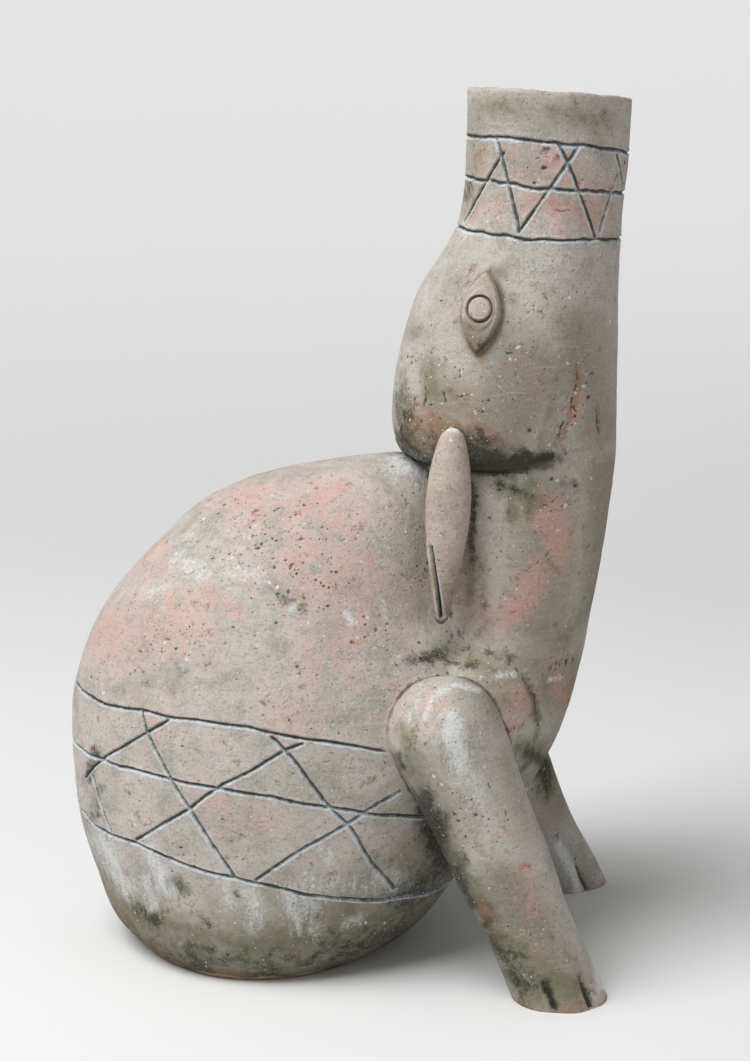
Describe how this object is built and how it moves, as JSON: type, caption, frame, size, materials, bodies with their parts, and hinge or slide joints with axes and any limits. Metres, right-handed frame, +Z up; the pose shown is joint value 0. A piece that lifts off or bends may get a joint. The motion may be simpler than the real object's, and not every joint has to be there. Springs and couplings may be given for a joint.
{
  "type": "askos vessel",
  "caption": "Hand-built fired-clay askos in the shape of a sitting animal whose raised muzzle is the open spout, hollow from spout to body, standing on a flat base and forelegs.",
  "frame": {"origin": "on the floor, under the middle of the length and the width", "axes": "+X the way the animal faces, towards its throat; +Y its left side; +Z up, out of the spout"},
  "size_m": [0.2613, 0.1932, 0.3994],
  "materials": {
    "smoked_clay": "unglazed, matt, smoke-darkened",
    "slab_clay": "unglazed, matt, worn to terracotta at the edge",
    "applied_clay": "unglazed, matt, smoothed by hand"
  },
  "bodies": {
    "root": {"base_slab": "slab_clay", "rump_bowl": "smoked_clay", "belly_ring": "smoked_clay", "shoulder_ring": "smoked_clay", "back_dome": "smoked_clay", "neck_column": "smoked_clay", "head_bulb": "smoked_clay", "muzzle_spout": "smoked_clay", "right_foreleg": "smoked_clay", "left_foreleg": "smoked_clay", "right_ear": "applied_clay", "left_ear": "applied_clay", "right_eye": "applied_clay", "left_eye": "applied_clay", "right_pupil": "applied_clay", "left_pupil": "applied_clay"}
  },
  "joints": []
}
